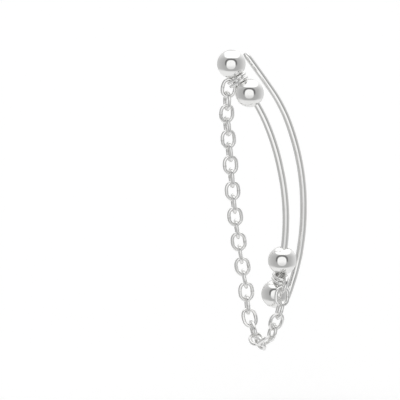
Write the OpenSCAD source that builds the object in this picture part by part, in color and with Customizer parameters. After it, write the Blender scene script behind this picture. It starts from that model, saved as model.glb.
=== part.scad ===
// Ear climber: one bent silver wire with four round beads and a cable chain that hangs from neck to neck.
// Millimetres. Z is up and Y runs from the front of the ear to its back.
// The origin is the lowest point of the small bend, where the wire sits in the lobe's piercing.

/* [Wire] */
// Thickness of the round wire
wire_d = 0.9; // [0.8:0.05:1.0]
// Distance from the front bar to the ear wire behind it, middle to middle
leg_gap = 5.8; // [5.4:0.1:6.4]
// Thickness of the ear wire at its very tip
tip_d = 0.6; // [0.4:0.1:0.8]

/* [Beads] */
// Diameter of the four round beads
bead_d = 3.7; // [3.5:0.05:3.75]
// Room round the wire in a bead's hole
bore_gap = 0.05; // [0.03:0.01:0.1]

/* [Chain] */
// Thickness of the wire that the links and the end rings are bent from
link_d = 0.42; // [0.36:0.02:0.44]
// Outer length of a link
link_l = 2.66; // [2.6:0.02:2.72]
// Outer width of a link and of an end ring
link_w = 1.98; // [1.9:0.02:2.0]
// Outer length of an end ring
ring_l = 3.0; // [2.9:0.02:3.1]
// Distance from a link's middle line to the middle line of the next one, where they hook together
hook = 0.50; // [0.46:0.01:0.54]
// Turn from a link to the next one about the chain's own line
link_turn = 90; // [84:1:96]

/* [Hidden] */
wire_sides = 12;
wire_steps = 2;
chain_steps = 20;
ball_sides = 48;
bend_sides = 48;
link_sides = 24;
front_y = -leg_gap / 2;

// The bow of the front bar from the top down, with the ear wire behind it.
// Columns: x, z, the ear wire's shift to the right, and how far its top leans in to the bar.
bow = [
    [-3.32, 32.43, 0.20, 0.50],
    [-2.20, 30.48, 0.30, 0.30],
    [-1.12, 28.55, 0.40, 0.15],
    [0.03, 26.5, 0.45, 0.05],
    [1.05, 24, 0.50, 0],
    [1.88, 21, 0.50, 0],
    [2.38, 18, 0.50, 0],
    [2.62, 15, 0.45, 0],
    [2.55, 12, 0.40, 0],
    [2.18, 9, 0.40, 0],
    [1.58, 6.3, 0.45, 0.10],
    [0.95, 4.15, 0, 0],
    [0.30, 1.85, 0, 0],
];
ear_rows = 11;
bead_rows = [0, 2, 10, 12];
// How far the ear wire's tip stands out past the last row of the bow
tip_reach = 0.35;
// How far the front bar goes on past the middle of the top bead, inside it
blind_reach = 0.78;
// Room between the front bar's hidden end and the bottom of the top bead's hole
blind_gap = 0.1;
// How far a bead's hole is cut past the bead's surface
bore_over = 1.2;

// The bend under the lobe, from the lowest bead to the ear wire.
// Columns: x, share of half the leg gap from the front to the back, z.
bend = [
    [0.10, -0.95, 1.0],
    [-0.05, -0.79, 0.3],
    [-0.10, -0.48, 0],
    [0, 0, 0],
    [0.25, 0.29, 0.25],
    [0.52, 0.45, 0.95],
    [0.88, 0.57, 2.0],
    [1.25, 0.76, 3.3],
    [1.65, 0.90, 4.8],
];

// The line that the chain's joints lie on, from the top end rings down and up to the lower ones.
// Columns: x, y, z, turn of the links about the line.
chain_line = [
    [-3.75, -2.7, 30.05, 58],
    [-4.15, -2.95, 28.4, 8],
    [-4.45, -2.8, 26.6, 8],
    [-4.65, -2.65, 24.85, 8],
    [-4.72, -2.4, 22.1, 9],
    [-4.75, -2.25, 18.6, 14],
    [-4.8, -2.15, 15.1, 17],
    [-4.8, -1.9, 11.7, 20],
    [-4.75, -1.45, 8.3, 23],
    [-4.7, -0.95, 4.9, 25],
    [-4.6, -0.55, 2.6, 22],
    [-4.55, -0.6, -1.05, 16],
    [-4.1, -0.95, -2.6, 14],
    [-3.35, -1.8, -3.9, 12],
    [-2.45, -3.35, -4.65, 21],
    [-1.4, -4.55, -4.4, 16],
    [-0.1, -5.15, -3.45, -14],
    [0.75, -5.55, -2.05, -8],
    [1.45, -5.8, -0.45, -10],
    [2.0, -5.6, 1.15, -16],
    [2.1, -5.1, 2.8, 0],
    [2.1, -4.05, 4.2, 12],
    [1.9, -3.8, 4.35, 5],
];
// Level direction that a link with no turn lies in, as an angle from X
turn_zero = 48;
turn_from = [cos(turn_zero), sin(turn_zero), 0];

// The end rings, two side by side round the bare wire of each neck.
// Columns: bead above, bead below, side of the neck's middle.
rings = [
    [0, 1, -1],
    [0, 1, 1],
    [2, 3, -1],
    [2, 3, 1],
];
ring_names = ["end_ring_top_1", "end_ring_top_2", "end_ring_bottom_1", "end_ring_bottom_2"];
// From a neck's middle to each of its rings, and from the bar's middle line back to a ring's own
ring_offset = 0.26;
ring_behind = 0.77;
// Directions that the chain pulls the rings in, at the top and at the bottom neck
top_pull = [-0.86, 0.18, -0.49];
bottom_pull = [0.60, -0.78, -0.17];

function unit(v) = v / norm(v);
function xyz(row) = [row[0], row[1], row[2]];
// Part of a vector that is square to an axis, at length 1
function square_to(v, axis) = unit(v - (v * axis) * axis);
// Smooth curve from b to c, with a and d as the points on either side
function blend(a, b, c, d, u) = 0.5 * (2 * b + (c - a) * u
    + (2 * a - 5 * b + 4 * c - d) * u * u + (3 * b - a - 3 * c + d) * u * u * u);
// Smooth curve through all the points, with so many steps from each to the next
function curve(p, steps) =
    let (last = len(p) - 1,
         q = concat([2 * p[0] - p[1]], p, [2 * p[last] - p[last - 1]]))
    concat([for (i = [1 : last]) for (k = [0 : steps - 1])
        blend(q[i - 1], q[i], q[i + 1], q[i + 2], k / steps)], [p[last]]);

front_points = [for (row = bow) [row[0], front_y, row[1]]];
bend_points = [for (row = bend) [row[0], row[1] * leg_gap / 2, row[2]]];
ear_points = [for (i = [ear_rows - 1 : -1 : 0]) [bow[i][0] + bow[i][2], leg_gap / 2 - bow[i][3], bow[i][1]]];
bead_points = [for (i = bead_rows) front_points[i]];
// The wire starts inside the top bead, a little past the bead's middle, and ends at the ear wire's tip
blind_end = front_points[0] + blind_reach * unit(front_points[0] - front_points[1]);
tip_end = ear_points[ear_rows - 1] + tip_reach * unit(ear_points[ear_rows - 1] - ear_points[ear_rows - 2]);
wire_path = curve(concat([blind_end], front_points, bend_points, ear_points, [tip_end]), wire_steps);
// Stretch of the wire that a bead's hole follows, with the top bead's a little deeper than the wire
bore_start = wire_path[0] + blind_gap * unit(wire_path[0] - wire_path[1]);
function bore_path(i) = concat(i == 0 ? [bore_start] : [],
    [for (p = wire_path) if (norm(p - bead_points[i]) < bead_d / 2 + bore_over) p]);

pitch = link_l - link_d - hook;
line = curve(chain_line, chain_steps);
// First point of the chain's line, from number i on, that lies a pitch or more from a joint
function beyond(joint, i) = i >= len(line) || norm(xyz(line[i]) - xyz(joint)) >= pitch ? i : beyond(joint, i + 1);
// Point between rows a and b that lies exactly a pitch from a joint
function at_pitch(a, b, joint) =
    let (d = xyz(b) - xyz(a),
         f = xyz(a) - xyz(joint),
         u = (-f * d + sqrt((f * d) * (f * d) - (d * d) * (f * f - pitch * pitch))) / (d * d))
    a + u * (b - a);
function walk(joint, i) =
    let (n = beyond(joint, i))
    n >= len(line) ? [joint] : concat([joint], walk(at_pitch(line[n - 1], line[n], joint), n));
joints = walk(line[0], 1);
links = len(joints) - 1;

function link_name(k) = str("link_", k < 9 ? "0" : "", k + 1);
bead_names = ["bead_top_end", "bead_top_inner", "bead_bottom_inner", "bead_bottom_end"];

silver = [0.80, 0.80, 0.81];
chain_silver = [0.74, 0.74, 0.76];

// Round bar along a path, with a thickness at its far end of its own
module bar(p, d, end_d) {
    last = len(p) - 1;
    ring_points = [for (i = [0 : last])
        let (along = unit(p[min(i + 1, last)] - p[max(i - 1, 0)]),
             u = unit(cross(along, [1, 0, 0])),
             v = cross(along, u),
             r = (i == last ? end_d : d) / 2)
        for (k = [0 : wire_sides - 1])
            p[i] + r * (cos(360 * k / wire_sides) * u + sin(360 * k / wire_sides) * v)];
    faces = concat(
        [[for (k = [0 : wire_sides - 1]) k]],
        [[for (k = [wire_sides - 1 : -1 : 0]) last * wire_sides + k]],
        [for (i = [0 : last - 1]) for (k = [0 : wire_sides - 1])
            let (next = (k + 1) % wire_sides)
            [i * wire_sides + k, (i + 1) * wire_sides + k, (i + 1) * wire_sides + next, i * wire_sides + next]]);
    polyhedron(ring_points, faces, convexity = 6);
}

// Oval ring of round wire, long way along Y and flat in XY
module oval(length) {
    straight = length - link_w;
    middle_r = (link_w - link_d) / 2;
    for (half = [0, 180])
        rotate([0, 0, half]) {
            translate([0, straight / 2, 0])
                rotate_extrude(angle = 180, $fn = bend_sides)
                    translate([middle_r, 0])
                        circle(d = link_d, $fn = link_sides);
            translate([middle_r, 0, 0])
                rotate([90, 0, 0])
                    cylinder(h = straight, d = link_d, center = true, $fn = link_sides);
        }
}

// Puts a child at a middle point, with its Y along one direction and its X across it
module place(middle, along, across) {
    out = cross(across, along);
    multmatrix([
        [across[0], along[0], out[0], middle[0]],
        [across[1], along[1], out[1], middle[1]],
        [across[2], along[2], out[2], middle[2]],
        [0, 0, 0, 1],
    ])
        children();
}

module climber_wire() {
    color(silver)
        bar(wire_path, wire_d, tip_d);
}

module bead(i) {
    color(silver)
        difference() {
            translate(bead_points[i])
                rotate([90, 0, 0])
                    sphere(d = bead_d, $fn = ball_sides);
            bar(bore_path(i), wire_d + 2 * bore_gap, wire_d + 2 * bore_gap);
        }
}

module end_ring(i) {
    above = bead_points[rings[i][0]];
    below = bead_points[rings[i][1]];
    neck = unit(below - above);
    pull = square_to(rings[i][0] == 0 ? top_pull : bottom_pull, neck);
    reach = (ring_l - link_d) / 2 - ring_behind;
    middle = (above + below) / 2 + reach * pull + rings[i][2] * ring_offset * neck;
    color(chain_silver)
        place(middle, pull, cross(neck, pull))
            oval(ring_l);
}

module link(k) {
    from = joints[k];
    to = joints[k + 1];
    along = unit(xyz(to) - xyz(from));
    turn = (from[3] + to[3]) / 2 - (k % 2) * link_turn;
    level = square_to(turn_from, along);
    across = cos(turn) * level + sin(turn) * cross(along, level);
    color(chain_silver)
        place((xyz(from) + xyz(to)) / 2, along, across)
            oval(link_l);
}

climber_wire();
for (i = [0 : len(bead_names) - 1])
    bead(i);
for (i = [0 : len(ring_names) - 1])
    end_ring(i);
for (k = [0 : links - 1])
    link(k);
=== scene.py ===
import math
import random

import bpy
import numpy as np
from mathutils import Matrix, Vector


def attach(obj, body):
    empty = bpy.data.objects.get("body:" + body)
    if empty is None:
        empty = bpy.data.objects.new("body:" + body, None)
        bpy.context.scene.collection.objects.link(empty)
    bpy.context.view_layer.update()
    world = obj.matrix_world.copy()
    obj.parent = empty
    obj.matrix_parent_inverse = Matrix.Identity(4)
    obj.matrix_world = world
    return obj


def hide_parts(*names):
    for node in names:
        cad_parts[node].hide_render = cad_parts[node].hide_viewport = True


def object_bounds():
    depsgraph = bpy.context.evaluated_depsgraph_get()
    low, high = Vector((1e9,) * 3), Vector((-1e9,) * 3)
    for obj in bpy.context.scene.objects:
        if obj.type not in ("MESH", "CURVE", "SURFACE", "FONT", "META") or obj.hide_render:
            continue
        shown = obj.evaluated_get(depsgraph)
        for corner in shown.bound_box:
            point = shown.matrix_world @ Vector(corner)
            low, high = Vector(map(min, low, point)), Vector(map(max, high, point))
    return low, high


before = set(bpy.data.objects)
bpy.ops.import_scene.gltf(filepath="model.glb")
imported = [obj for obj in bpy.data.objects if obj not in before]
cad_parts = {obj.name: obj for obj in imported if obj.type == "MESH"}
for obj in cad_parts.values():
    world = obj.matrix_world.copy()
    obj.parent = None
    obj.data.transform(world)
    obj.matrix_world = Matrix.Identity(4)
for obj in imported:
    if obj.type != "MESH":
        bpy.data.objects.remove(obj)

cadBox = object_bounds()  # the model's own box, before anything is added
mm = 0.001
print("frame loaded,", len(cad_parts), "nodes")


# Camera
# The photo's viewing angle: turned to the right of the front, a little from above, leaning slightly
cameraView = dict(
    turn=20.5, rise=12.2, lean=4.5,
    lens=1600, sensor=36, frameWidth=51.8,  # a long lens, since the photo shows no perspective
    nearest=0.1, farthest=20,  # what is shown, as shares of the camera's distance
)
# What the middle of the picture lies on, counted from the upper inner bead along the picture's own axes
pictureMiddle = dict(bead=(-1.12, -2.9, 28.55), right=-6.42, up=-13.84)


def cameraAxes():
    turn, rise, lean = (math.radians(cameraView[k]) for k in ("turn", "rise", "lean"))
    back = Vector((math.sin(turn) * math.cos(rise), -math.cos(turn) * math.cos(rise), math.sin(rise)))
    level = Vector((math.cos(turn), math.sin(turn), 0))
    upright = back.cross(level)
    right = level * math.cos(lean) - upright * math.sin(lean)
    up = upright * math.cos(lean) + level * math.sin(lean)
    return right, up, back


right, up, back = cameraAxes()


def makeCamera():
    middle = Vector(pictureMiddle["bead"]) + right * pictureMiddle["right"] + up * pictureMiddle["up"]
    away = cameraView["frameWidth"] * cameraView["lens"] / cameraView["sensor"]
    data = bpy.data.cameras.new("camera")
    data.lens = cameraView["lens"]
    data.sensor_width = cameraView["sensor"]
    data.clip_start = cameraView["nearest"] * away * mm
    data.clip_end = cameraView["farthest"] * away * mm
    camera = bpy.data.objects.new("camera", data)
    turned = Matrix((right, up, back)).transposed().to_4x4()
    camera.matrix_world = Matrix.Translation((middle + back * away) * mm) @ turned
    bpy.context.scene.collection.objects.link(camera)
    bpy.context.scene.camera = camera


makeCamera()


# Shader maths
class Sock:  # one output socket, so that maths on it reads as maths
    def __init__(self, tree, out=None):
        self.tree = tree
        self.out = out

    # any node: its type, its settings, the values or links of its sockets, and which output to go on with
    def make(self, kind, settings=None, values=None, out=0):
        made = self.tree.nodes.new(kind)
        for name, value in (settings or {}).items():
            if name == "stops":
                self.setStops(made.color_ramp, value)
            else:
                setattr(made, name, value)
        for name, value in (values or {}).items():
            if isinstance(value, Sock):
                self.tree.links.new(value.out, made.inputs[name])
            else:
                made.inputs[name].default_value = value
        return Sock(self.tree, made.outputs[out] if made.outputs else None)

    def also(self, name):  # another output of the same node
        return Sock(self.tree, self.out.node.outputs[name])

    @staticmethod
    def setStops(ramp, stops):
        while len(ramp.elements) < len(stops):
            ramp.elements.new(0.5)
        for element, (place, level) in zip(ramp.elements, stops):
            element.position = place
            element.color = (level, level, level, 1)

    def maths(self, operation, *values):
        return self.make("ShaderNodeMath", {"operation": operation}, dict(enumerate(values)))

    def __add__(self, other):
        return self.maths("ADD", self, other)

    def __sub__(self, other):
        return self.maths("SUBTRACT", self, other)

    def __rsub__(self, other):
        return self.maths("SUBTRACT", other, self)

    def __mul__(self, other):
        return self.maths("MULTIPLY", self, other)

    def __truediv__(self, other):
        return self.maths("DIVIDE", self, other)

    def __pow__(self, other):
        return self.maths("POWER", self, other)

    __radd__ = __add__
    __rmul__ = __mul__

    def size(self):
        return self.maths("ABSOLUTE", self)

    def sine(self):
        return self.maths("SINE", self)

    def cosine(self):
        return self.maths("COSINE", self)

    def least(self, other):
        return self.maths("MINIMUM", self, other)

    def most(self, other):
        return self.maths("MAXIMUM", self, other)

    def rise(self, low, high):  # 0 below low, 1 above high, smooth between
        values = {"Value": self, "From Min": low, "From Max": high}
        return self.make("ShaderNodeMapRange", {"interpolation_type": "SMOOTHSTEP"}, values)

    def towards(self, other, share):
        return self + (other - self) * share

    def dot(self, direction):
        settings = {"operation": "DOT_PRODUCT"}
        return self.make("ShaderNodeVectorMath", settings, {0: self, 1: tuple(direction)}, out="Value")

    def scaled(self, by):
        return self.make("ShaderNodeVectorMath", {"operation": "MULTIPLY"}, {0: self, 1: by})

    def noise(self, scale, detail=2.0, rough=0.5):
        values = {"Vector": self, "Scale": scale, "Detail": detail, "Roughness": rough}
        return self.make("ShaderNodeTexNoise", None, values)

    def tint(self, share, first, second):
        values = {0: share, 6: (*first, 1), 7: (*second, 1)}
        return self.make("ShaderNodeMix", {"data_type": "RGBA"}, values, out=2)


# Studio
# Everything that the silver mirrors, laid out as it shows on a round bead seen from the front: across and
# up from the bead's middle, in bead radii. Levels are plain light, 1 is white.
studio = dict(
    sides=[(0.3, 0.38), (0.45, 0.43), (0.62, 0.46), (0.78, 0.51), (0.9, 0.56), (1.0, 0.6)],
    rightRim=0.13, rightSpan=(0.5, 1.0), topRim=0.2, topSpan=(0.2, 0.8),
    cornerRim=0.15, cornerSpan=(0.0, 0.6),
    floorEdge=-0.5, floorCurve=0.16, floorSoft=0.1, floorLevel=0.84,
    lineLevel=0.42, lineWidth=0.035, lineEnds=(0.3, 0.6),
    ceilingMiddle=(0.05, 0.65), ceilingSize=(0.53, 0.25), ceilingPower=3.2, ceilingSoft=0.45,
    ceilingLevel=1.2,
    doorMiddle=(-0.02, 0.0), doorSize=(0.43, 0.37), doorPower=2.6, doorSoft=0.2,
    doorLevel=0.17, doorFoot=(-0.2, 0.02),
    panelMiddle=(-0.02, -0.06), panelSize=(0.315, 0.32), panelPower=2.6, panelSoft=0.22,
    panelLevel=0.98, panelFoot=0.74, panelSpan=(-0.34, -0.04),
)


def patch(across, upward, name):  # 1 inside the named panel of light or shade, 0 outside it
    middle, size, power, soft = (studio[name + part] for part in ("Middle", "Size", "Power", "Soft"))
    a = ((across - middle[0]).size() / size[0]) ** power
    b = ((upward - middle[1]).size() / size[1]) ** power
    return 1 - (a + b).rise(1 - soft, 1 + soft)


def makeStudio():
    world = bpy.data.worlds.new("studio")
    world.use_nodes = True
    tree = world.node_tree
    tree.nodes.clear()
    start = Sock(tree)
    direction = start.make("ShaderNodeTexCoord", out="Generated")
    stretch = ((direction.dot(back) + 1) * 2).most(0.0004) ** 0.5  # a mirroring ball shows all round it
    across = direction.dot(right) / stretch
    upward = direction.dot(up) / stretch
    spread = (across ** 2 + upward ** 2) ** 0.5
    sides = start.make("ShaderNodeValToRGB", {"stops": studio["sides"]}, {0: spread})
    level = sides + across.rise(*studio["rightSpan"]) * studio["rightRim"]
    corner = across.rise(*studio["cornerSpan"]) * studio["cornerRim"]
    level = level + upward.rise(*studio["topSpan"]) * (corner + studio["topRim"])
    edge = across ** 2 * studio["floorCurve"] + studio["floorEdge"]
    ground = (edge - upward).rise(-studio["floorSoft"], studio["floorSoft"])
    level = level.towards(studio["floorLevel"], ground)
    level = level.towards(studio["ceilingLevel"], patch(across, upward, "ceiling"))
    door = patch(across, upward, "door") * upward.rise(*studio["doorFoot"])
    level = level.towards(studio["doorLevel"], door)
    glow = upward.rise(*studio["panelSpan"]) * (studio["panelLevel"] - studio["panelFoot"])
    level = level.towards(glow + studio["panelFoot"], patch(across, upward, "panel"))
    width = studio["lineWidth"]  # a darker line where the mirrored floor ends
    line = 1 - (upward - edge - width).size().rise(0.4 * width, 1.6 * width)
    line = line * (1 - across.size().rise(*studio["lineEnds"]))
    level = level.towards(studio["lineLevel"], line)
    mirrored = start.make("ShaderNodeBackground", None, {"Color": level})
    plain = start.make("ShaderNodeBackground", None, {"Color": (1, 1, 1, 1)})
    seen = start.make("ShaderNodeLightPath", out="Is Camera Ray")
    shown = start.make("ShaderNodeMixShader", None, {0: seen, 1: mirrored, 2: plain})
    start.make("ShaderNodeOutputWorld", None, {"Surface": shown})
    bpy.context.scene.world = world
    bpy.context.scene.view_settings.view_transform = "Standard"


makeStudio()
print("camera and studio made")


# Materials
def newMaterial(name):
    material = bpy.data.materials.new(name)
    material.use_nodes = True
    tree = material.node_tree
    tree.nodes.clear()
    return material, Sock(tree)


def finishMaterial(start, values):
    surface = start.make("ShaderNodeBsdfPrincipled", None, values)
    start.make("ShaderNodeOutputMaterial", None, {"Surface": surface})


def finishSilver(start, colour, rough, height):  # height in thousandths of a millimetre
    bump = start.make("ShaderNodeBump", None, {"Height": height, "Distance": 0.001 * mm, "Strength": 1.0})
    finishMaterial(start, {"Base Color": colour, "Metallic": 1.0, "Roughness": rough, "Normal": bump})


def placeInMillimetres(start):
    return start.make("ShaderNodeTexCoord", out="Object").scaled((1000, 1000, 1000))


def layOf(start):  # along the piece, and once round it
    spot = start.make("ShaderNodeUVMap", {"uv_map": "lay"})
    along = start.make("ShaderNodeSeparateXYZ", None, {0: spot})
    return along, along.also("Y") * (2 * math.pi)


# Bead polish: a mirror with the faint waves, hairlines and smears that a hand polish leaves
beadPolish = dict(
    bright=(0.965, 0.963, 0.955), dull=(0.91, 0.907, 0.895),
    smooth=0.03, smeared=0.1, scratchedMore=0.04,
    smearDulls=0.7, scratchDulls=0.3, waveHeight=6, scratchDepth=0.12,
)


def makeBeadSilver():
    material, start = newMaterial("bead_silver")
    place = placeInMillimetres(start)
    smear = place.noise(0.55, 4.0, 0.6).rise(0.42, 0.72)
    hairs = place.scaled((1.5, 26, 7)).noise(1.4, 3.0, 0.7).rise(0.6, 0.74)
    crossHairs = place.scaled((24, 2, 9)).noise(1.3, 3.0, 0.7).rise(0.62, 0.76)
    scratched = hairs.most(crossHairs)
    wave = place.noise(0.7, 1.0, 0.4)
    worn = smear * beadPolish["smearDulls"] + scratched * beadPolish["scratchDulls"]
    colour = start.tint(worn, beadPolish["bright"], beadPolish["dull"])
    rough = smear * (beadPolish["smeared"] - beadPolish["smooth"]) + beadPolish["smooth"]
    rough = rough + scratched * beadPolish["scratchedMore"]
    height = wave * beadPolish["waveHeight"] - scratched * beadPolish["scratchDepth"]
    finishSilver(start, colour, rough, height)
    return material


# Wire polish: as bright as the beads, with the draw lines of the plate running along it
wirePolish = dict(
    bright=(0.965, 0.963, 0.955), dull=(0.82, 0.817, 0.805), smooth=0.025, lined=0.08,
    lineDulls=0.5, wearDulls=0.3, lineDepth=0.3, lineStretch=0.16,
)


def makeWireSilver():
    material, start = newMaterial("wire_silver")
    along, angle = layOf(start)
    place = {0: angle.cosine(), 1: angle.sine(), 2: along * wirePolish["lineStretch"]}
    barrel = start.make("ShaderNodeCombineXYZ", None, place)
    lines = barrel.noise(9.0, 3.0, 0.65).rise(0.52, 0.72)
    worn = barrel.scaled((1, 1, 5)).noise(0.9, 3.0, 0.6).rise(0.4, 0.7)
    dulled = lines * wirePolish["lineDulls"] + worn * wirePolish["wearDulls"]
    colour = start.tint(dulled, wirePolish["bright"], wirePolish["dull"])
    rough = wirePolish["smooth"] + lines * (wirePolish["lined"] - wirePolish["smooth"]) * worn
    finishSilver(start, colour, rough, lines * -wirePolish["lineDepth"])
    return material


# Chain silver: barrelled links, rubbed bright where they hook together, painted shade inside them, darker
# at the seam
chainFinishAndShade = dict(
    bright=(0.955, 0.953, 0.945), dark=(0.66, 0.656, 0.643), smooth=0.05, barrelled=0.14, seamRough=0.1,
    paintedShadeInside=0.4, tarnishDarkens=0.14, grainDarkens=0.1, seamDarkens=0.4,
    grainHeight=0.5, seamDepth=1.0, seamSpan=(0.008, 0.02),
)


def makeChainSilver():
    material, start = newMaterial("chain_silver")
    along, angle = layOf(start)  # along runs from 0 to 1 once round the link, from its seam
    ends = (along * (2 * math.pi)).sine() ** 2
    inner = 0.5 - angle.cosine() * 0.5
    hooked = (ends * inner).rise(0.72, 0.95)
    # painted shade: the inside of each link is darkened, except at the ends where links hook together
    shade = (inner * (1 - hooked)).rise(0.55, 1.0)
    seam = 1 - along.least(1 - along).rise(*chainFinishAndShade["seamSpan"])
    place = placeInMillimetres(start)
    grain = place.noise(7.0, 4.0, 0.6).rise(0.35, 0.75)
    tarnish = place.noise(1.1, 3.0, 0.6).rise(0.45, 0.7)
    # the colour darkens with the painted shade inside the links, random tarnish, grain and the darker seam
    dark = shade * chainFinishAndShade["paintedShadeInside"] + tarnish * chainFinishAndShade["tarnishDarkens"]
    dark = dark + grain * chainFinishAndShade["grainDarkens"] + seam * chainFinishAndShade["seamDarkens"]
    colour = start.tint(dark.least(1.0), chainFinishAndShade["bright"], chainFinishAndShade["dark"])
    matt = chainFinishAndShade["barrelled"] - chainFinishAndShade["smooth"]
    rough = chainFinishAndShade["smooth"] + grain * (1 - hooked) * matt + seam * chainFinishAndShade["seamRough"]
    height = grain * chainFinishAndShade["grainHeight"] - seam * chainFinishAndShade["seamDepth"]
    finishSilver(start, colour, rough, height)
    return material


beadSilver = makeBeadSilver()
wireSilver = makeWireSilver()
chainSilver = makeChainSilver()
print("silver finishes made")


# Mesh helpers
def unit(v):
    return v / np.linalg.norm(v)


def runAlong(path):  # how far each point lies along a path
    return np.concatenate([[0], np.cumsum(np.linalg.norm(np.diff(path, axis=0), axis=1))])


def smoothCurve(points, steps):  # through all the points, evenly stepped from each to the next
    p = np.array(points, float)
    p = np.vstack([2 * p[0] - p[1], p, 2 * p[-1] - p[-2]])
    made = []
    for a, b, c, d in zip(p, p[1:], p[2:], p[3:]):
        for u in np.arange(steps) / steps:
            made.append(0.5 * (2 * b + (c - a) * u + (2 * a - 5 * b + 4 * c - d) * u ** 2
                               + (3 * b - a - 3 * c + d) * u ** 3))
    made.append(p[-2])
    return np.array(made)


def crossAxes(path):  # for each point of a path, two directions square to it and to each other
    along = np.gradient(path, axis=0)
    first = np.cross(along, [1.0, 0, 0])
    first /= np.linalg.norm(first, axis=1)[:, None]
    second = np.cross(along, first)
    second /= np.linalg.norm(second, axis=1)[:, None]
    return first, second


def circle(sides):
    angle = np.arange(sides) * 2 * math.pi / sides
    return np.cos(angle), np.sin(angle)


def tubeRings(path, radii, sides):
    first, second = crossAxes(path)
    c, s = circle(sides)
    spread = first[:, None] * c[None, :, None] + second[:, None] * s[None, :, None]
    return path[:, None] + spread * np.asarray(radii)[:, None, None]


# A mesh from rings of points in millimetres. Shut joins the last ring to the first, caps close both ends.
def skin(name, rings, material, shut=False, caps=(False, False), lay=None):
    count, sides = rings.shape[:2]
    points = [tuple(p) for p in rings.reshape(-1, 3) * mm]
    rows = range(count if shut else count - 1)
    faces = [(i * sides + k, i * sides + (k + 1) % sides,
              (i + 1) % count * sides + (k + 1) % sides, (i + 1) % count * sides + k)
             for i in rows for k in range(sides)]
    for end, wanted in zip((0, count - 1), caps):
        if wanted:
            points.append(tuple(rings[end].mean(axis=0) * mm))
            middle = len(points) - 1
            pairs = [(end * sides + k, end * sides + (k + 1) % sides) for k in range(sides)]
            faces += [(b, a, middle) if end == 0 else (a, b, middle) for a, b in pairs]
    mesh = bpy.data.meshes.new(name)
    mesh.from_pydata(points, [], faces)
    mesh.polygons.foreach_set("use_smooth", [True] * len(faces))
    if lay is not None:
        layMap(mesh, lay, sides, len(rows))
    flipInsideOut(mesh)
    mesh.materials.append(material)
    piece = bpy.data.objects.new(name, mesh)
    bpy.context.scene.collection.objects.link(piece)
    return piece


# Coordinates of the finish: along the piece, and once round it
def layMap(mesh, lay, sides, rows):
    layer = mesh.uv_layers.new(name="lay")
    spots = []
    for i in range(rows):
        for k in range(sides):
            near, far = k / sides, (k + 1) / sides
            spots += [(lay[i], near), (lay[i], far), (lay[i + 1], far), (lay[i + 1], near)]
    rest = len(mesh.loops) - len(spots)
    spots += [(lay[0], 0.5)] * rest
    layer.uv.foreach_set("vector", np.array(spots, np.float32).ravel())


def flipInsideOut(mesh):
    mesh.update()
    inside = sum(p.center.dot(p.normal) * p.area for p in mesh.polygons)
    if inside < 0:
        mesh.flip_normals()


def ride(piece, node):
    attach(piece, "root")
    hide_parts(node)


# Climber wire
wire = dict(
    thick=0.9, legGap=5.8,
    tip=0.6, tipLength=0.9, tipReach=0.35, tipRim=0.13,
    blind=0.78,  # how far the wire reaches past the middle of the top bead
    steps=10, sides=40, rimSteps=9,
)
# The bow of the front bar from the top down: across, height, the ear wire's shift to the right and lean in
bow = [
    (-3.32, 32.43, 0.20, 0.50),
    (-2.20, 30.48, 0.30, 0.30),
    (-1.12, 28.55, 0.40, 0.15),
    (0.03, 26.5, 0.45, 0.05),
    (1.05, 24, 0.50, 0),
    (1.88, 21, 0.50, 0),
    (2.38, 18, 0.50, 0),
    (2.62, 15, 0.45, 0),
    (2.55, 12, 0.40, 0),
    (2.18, 9, 0.40, 0),
    (1.58, 6.3, 0.45, 0.10),
    (0.95, 4.15, 0, 0),
    (0.30, 1.85, 0, 0),
]
earRows = 11
# The bend under the lobe: across, share of half the leg gap from front to back, height
bend = [
    (0.10, -0.95, 1.0),
    (-0.05, -0.79, 0.3),
    (-0.10, -0.48, 0),
    (0, 0, 0),
    (0.25, 0.29, 0.25),
    (0.52, 0.45, 0.95),
    (0.88, 0.57, 2.0),
    (1.25, 0.76, 3.3),
    (1.65, 0.90, 4.8),
]
half = wire["legGap"] / 2
frontPoints = [np.array((x, -half, z)) for x, z, shift, lean in bow]
bendPoints = [np.array((x, share * half, z)) for x, share, z in bend]
earPoints = [np.array((x + shift, half - lean, z)) for x, z, shift, lean in bow[:earRows][::-1]]
blindEnd = frontPoints[0] + wire["blind"] * unit(frontPoints[0] - frontPoints[1])
tipEnd = earPoints[-1] + wire["tipReach"] * unit(earPoints[-1] - earPoints[-2])
wirePath = smoothCurve([blindEnd, *frontPoints, *bendPoints, *earPoints, tipEnd], wire["steps"])


def makeWire():
    path = wirePath
    run = runAlong(path)
    left = run[-1] - run
    radius = wire["thick"] / 2
    tip, rim = wire["tip"] / 2, wire["tipRim"]
    taper = np.clip((left - rim) / wire["tipLength"], 0, 1)
    radii = tip + (radius - tip) * taper * (2 - taper)
    rings = tubeRings(path, radii, wire["sides"])
    body = [ring for ring, away in zip(rings, left) if away > 1.1 * rim]  # the rim's own rings end it
    end, along = path[-1], unit(path[-1] - path[-2])
    first, second = crossAxes(path)
    c, s = circle(wire["sides"])
    for angle in np.linspace(0, math.pi / 2, wire["rimSteps"]):  # the rounded rim of the tip's flat face
        middle = end - along * rim * (1 - math.sin(angle))
        reach = tip - rim * (1 - math.cos(angle))
        body.append(middle + reach * (np.outer(c, first[-1]) + np.outer(s, second[-1])))
    rings = np.array(body)
    lay = runAlong(rings.mean(axis=1))
    piece = skin("climber_wire_polished", rings, wireSilver, caps=(True, True), lay=lay)
    ride(piece, "climber_wire")


makeWire()
print("climber wire made")


# Beads
bead = dict(
    across=3.7, bore=1.0, rim=0.07,
    blindGap=0.1,  # between the wire's end and the bottom of the top bead's hole
    pole=0.012,  # half angle of the small cap on top of that bead
    sides=96, rows=72, rimSteps=6, wallSteps=4, blindSteps=3,
)
# Each bead's middle, as a row of the bow
beadRows = {"bead_top_end": 0, "bead_top_inner": 2, "bead_bottom_inner": 10, "bead_bottom_end": 12}


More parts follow.
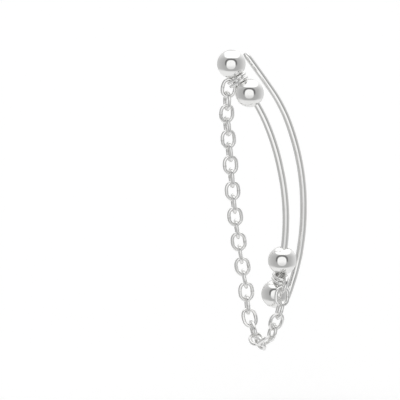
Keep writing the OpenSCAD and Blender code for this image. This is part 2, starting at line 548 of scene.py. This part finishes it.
# Where a tube of some radius round the wire comes out of a ball of some radius, on one side of the bead
def mouth(path, middle, tubeRadius, ballRadius, sides):
    rings = tubeRings(path, np.full(len(path), tubeRadius), sides)
    away = np.linalg.norm(rings - middle, axis=2)
    found = []
    for k in range(sides):
        i = int(np.argmax(away[:, k] > ballRadius))
        share = (ballRadius - away[i - 1, k]) / (away[i, k] - away[i - 1, k])
        found.append(rings[i - 1, k] + share * (rings[i, k] - rings[i - 1, k]))
    return np.array(found)


def halfPath(middle, direction):  # the wire's path from a bead's middle outwards
    start = int(np.argmin(np.linalg.norm(wirePath - middle, axis=1)))
    part = wirePath[start:] if direction > 0 else wirePath[:start + 1][::-1]
    reach = np.linalg.norm(part - middle, axis=1) < bead["across"]
    stop = int(np.argmin(reach)) if not reach.all() else len(part)
    part = part[:stop]
    dense = np.linspace(0, len(part) - 1, 8 * len(part))
    return np.array([np.interp(dense, range(len(part)), part[:, axis]) for axis in range(3)]).T


def rimRings(middle, direction):  # the rounded rim of a hole, from the ball's surface to the hole's wall
    ball = bead["across"] / 2
    path = halfPath(middle, direction)
    rings = []
    for angle in np.linspace(0, math.pi / 2, bead["rimSteps"]):
        tube = bead["bore"] / 2 + bead["rim"] * (1 - math.sin(angle))
        depth = ball - bead["rim"] * (1 - math.cos(angle))
        rings.append(mouth(path, middle, tube, depth, bead["sides"]))
    if direction < 0:  # the path runs the other way here, so its sides are put back in step
        rings = [ring[::-1] for ring in rings]
    return rings


def polar(points, middle, axis, first, second):
    d = (points - middle) / np.linalg.norm(points - middle, axis=1)[:, None]
    tilt = np.arccos(np.clip(d @ axis, -1, 1))
    turn = np.unwrap(np.arctan2(d @ second, d @ first))
    return tilt, turn


def alignTurn(turn, other):  # whole turns put aside, so that two rims run in step
    return turn + 2 * math.pi * round((other.mean() - turn.mean()) / (2 * math.pi))


def inStep(ring, middle, axis, first, second):  # same sense and same start for each ring
    tilt, turn = polar(ring, middle, axis, first, second)
    if turn[-1] < turn[0]:
        ring = ring[::-1]
        tilt, turn = polar(ring, middle, axis, first, second)
    shift = int(np.argmin(np.abs((turn + math.pi) % (2 * math.pi) - math.pi)))
    return np.roll(ring, -shift, axis=0)


def makeBead(node, row):
    ball = bead["across"] / 2
    middle = frontPoints[row]
    lower = rimRings(middle, 1)
    blind = row == 0
    out = unit(lower[0].mean(axis=0) - middle)
    axis = -out
    if not blind:
        upper = rimRings(middle, -1)
        axis = unit(unit(upper[0].mean(axis=0) - middle) - out)
    first = unit(np.cross(axis, [0, 1.0, 0]))
    second = np.cross(axis, first)
    lower = [inStep(ring, middle, axis, first, second) for ring in lower]
    lowTilt, lowTurn = polar(lower[0], middle, axis, first, second)
    if blind:
        highTilt = np.full(bead["sides"], bead["pole"])
        highTurn = np.arange(bead["sides"]) * 2 * math.pi / bead["sides"]
    else:
        upper = [inStep(ring, middle, axis, first, second) for ring in upper]
        highTilt, highTurn = polar(upper[0], middle, axis, first, second)
    highTurn = alignTurn(highTurn, lowTurn)
    shell = []
    even = np.linspace(0, 1, bead["rows"])
    for share in (even + (1 - np.cos(math.pi * even)) / 2) / 2:  # rows lie closer towards both holes
        tilt = highTilt + (lowTilt - highTilt) * share
        turn = highTurn + (lowTurn - highTurn) * share
        spot = np.outer(np.cos(tilt), axis) + np.outer(np.sin(tilt) * np.cos(turn), first)
        spot += np.outer(np.sin(tilt) * np.sin(turn), second)
        shell.append(middle + ball * spot)
    inner = lower[1:]
    if blind:
        deep = middle + (wire["blind"] + bead["blindGap"]) * axis
        bottom = inner[-1] - inner[-1].mean(axis=0) + deep
        wall = between(inner[-1], bottom, bead["blindSteps"]) + [bottom]
        piece = skin(node + "_polished", np.array(shell + inner + wall), beadSilver, caps=(True, True))
    else:
        ends = upper[1:][::-1]
        wall = [ontoWire(ring) for ring in between(inner[-1], ends[0], bead["wallSteps"])]
        piece = skin(node + "_polished", np.array(shell + inner + wall + ends), beadSilver, shut=True)
    ride(piece, node)


def between(start, end, steps):
    return [start + (end - start) * step / steps for step in range(1, steps)]


def ontoWire(ring):  # keeps the hole on the wire where that bends inside the bead
    middle = ring.mean(axis=0)
    return ring + wirePath[np.argmin(np.linalg.norm(wirePath - middle, axis=1))] - middle


for node, row in beadRows.items():
    makeBead(node, row)
print("beads made")


# Chain
link = dict(
    sides=20, bendSteps=22, sideSteps=8, oval=0.45,
    belly=0.055, cheek=0.02,  # how much fuller a link is than its solid, on its outer side and flat sides
    seamSwell=0.02, seamLength=0.16, rub=0.012, rubFrom=0.72, rubTo=0.92, uneven=0.006, seed=4,
)


def measure(node):  # middle, axes and sizes of an oval ring, taken from its node's own mesh
    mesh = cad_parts[node].data
    points = np.array([v.co for v in mesh.vertices], float) / mm
    spread = points - points.mean(axis=0)
    axes = np.linalg.eigh(spread.T @ spread)[1][:, ::-1].T
    longest = np.abs(axes).argmax(axis=1)
    axes *= np.sign(axes[range(3), longest])[:, None]  # each axis points one settled way
    low, high = (points @ axes.T).min(axis=0), (points @ axes.T).max(axis=0)
    return axes.T @ ((low + high) / 2), axes, high - low


def ovalLine(length, width, thick):  # middle line of a ring, from the seam in one long side, once round
    bendRadius = (width - thick) / 2
    straight = length - width
    made = []
    for y in np.linspace(0, straight / 2, link["sideSteps"], endpoint=False):
        made.append((bendRadius, y))
    for angle in np.linspace(0, math.pi, link["bendSteps"], endpoint=False):
        made.append((bendRadius * math.cos(angle), straight / 2 + bendRadius * math.sin(angle)))
    for y in np.linspace(straight / 2, -straight / 2, 2 * link["sideSteps"], endpoint=False):
        made.append((-bendRadius, y))
    for angle in np.linspace(math.pi, 2 * math.pi, link["bendSteps"], endpoint=False):
        made.append((bendRadius * math.cos(angle), -straight / 2 + bendRadius * math.sin(angle)))
    for y in np.linspace(-straight / 2, 0, link["sideSteps"], endpoint=False):
        made.append((bendRadius, y))
    made = np.array(made)
    reach = (length - thick) / 2
    rounded = np.sign(made[:, 0]) * bendRadius * np.sqrt(np.clip(1 - (made[:, 1] / reach) ** 2, 0, 1))
    made[:, 0] += (rounded - made[:, 0]) * link["oval"]
    return made


def makeRing(node, chance):
    middle, axes, size = measure(node)
    length, width, thick = size
    line = ovalLine(length, width, thick)
    ahead = np.roll(line, -1, axis=0) - np.roll(line, 1, axis=0)
    ahead /= np.linalg.norm(ahead, axis=1)[:, None]
    outward = np.stack([ahead[:, 1], -ahead[:, 0]], axis=1)
    lay = runAlong(np.vstack([line, line[:1]]))
    run, total = lay[:-1], lay[-1]
    fromSeam = np.minimum(run, total - run)
    swell = link["seamSwell"] * np.exp(-(fromSeam / link["seamLength"]) ** 2)
    wander = link["uneven"] * (np.sin(2 * math.pi * run / total * 3 + chance.uniform(0, 2 * math.pi)) - 1)
    radius = thick / 2 * (1 + wander) + swell / 2
    c, s = circle(link["sides"])
    ends = np.abs(line[:, 1]) / (length / 2)
    rub = link["rub"] * np.clip((ends - link["rubFrom"]) / (link["rubTo"] - link["rubFrom"]), 0, 1)
    flip = chance.choice((-1, 1))
    belly, cheek = (link["belly"], link["cheek"]) if node.startswith("link_") else (0, 0)
    rings = []
    for i in range(len(line)):
        r = radius[i] + np.minimum(c, 0) * rub[i]  # rubbed on the inside of each end
        flat = line[i] + outward[i] * (c * r + np.clip(c, 0, 1) * belly)[:, None]
        spot = np.stack([flat[:, 1], flip * flat[:, 0], s * (r + cheek)], axis=1)
        rings.append(middle + spot @ axes)
    piece = skin(node + "_polished", np.array(rings), chainSilver, shut=True, lay=lay / total)
    ride(piece, node)


chance = random.Random(link["seed"])
ringNodes = [n for n in sorted(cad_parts) if n.startswith(("end_ring_", "link_"))]
for node in ringNodes:
    makeRing(node, chance)
print("chain and end rings made,", len(ringNodes), "rings")


# Floor: a plain pale sheet below the climber
floor = dict(below=8.0, reach=2500.0, grey=0.9, rough=0.9, level=0.22)


def makeFloor():
    material, start = newMaterial("pale_floor")
    finishMaterial(start, {
        "Base Color": (floor["grey"],) * 3 + (1,), "Roughness": floor["rough"], "Specular IOR Level": 0.0,
        "Emission Color": (1, 1, 1, 1), "Emission Strength": floor["level"]})
    low = cadBox[0].z - floor["below"] * mm
    reach = floor["reach"] * mm
    corners = [(-reach, -reach, low), (reach, -reach, low), (reach, reach, low), (-reach, reach, low)]
    mesh = bpy.data.meshes.new("floor")
    mesh.from_pydata(corners, [], [(0, 1, 2, 3)])
    mesh.materials.append(material)
    sheet = bpy.data.objects.new("floor", mesh)
    bpy.context.scene.collection.objects.link(sheet)
    sheet.visible_glossy = False


makeFloor()
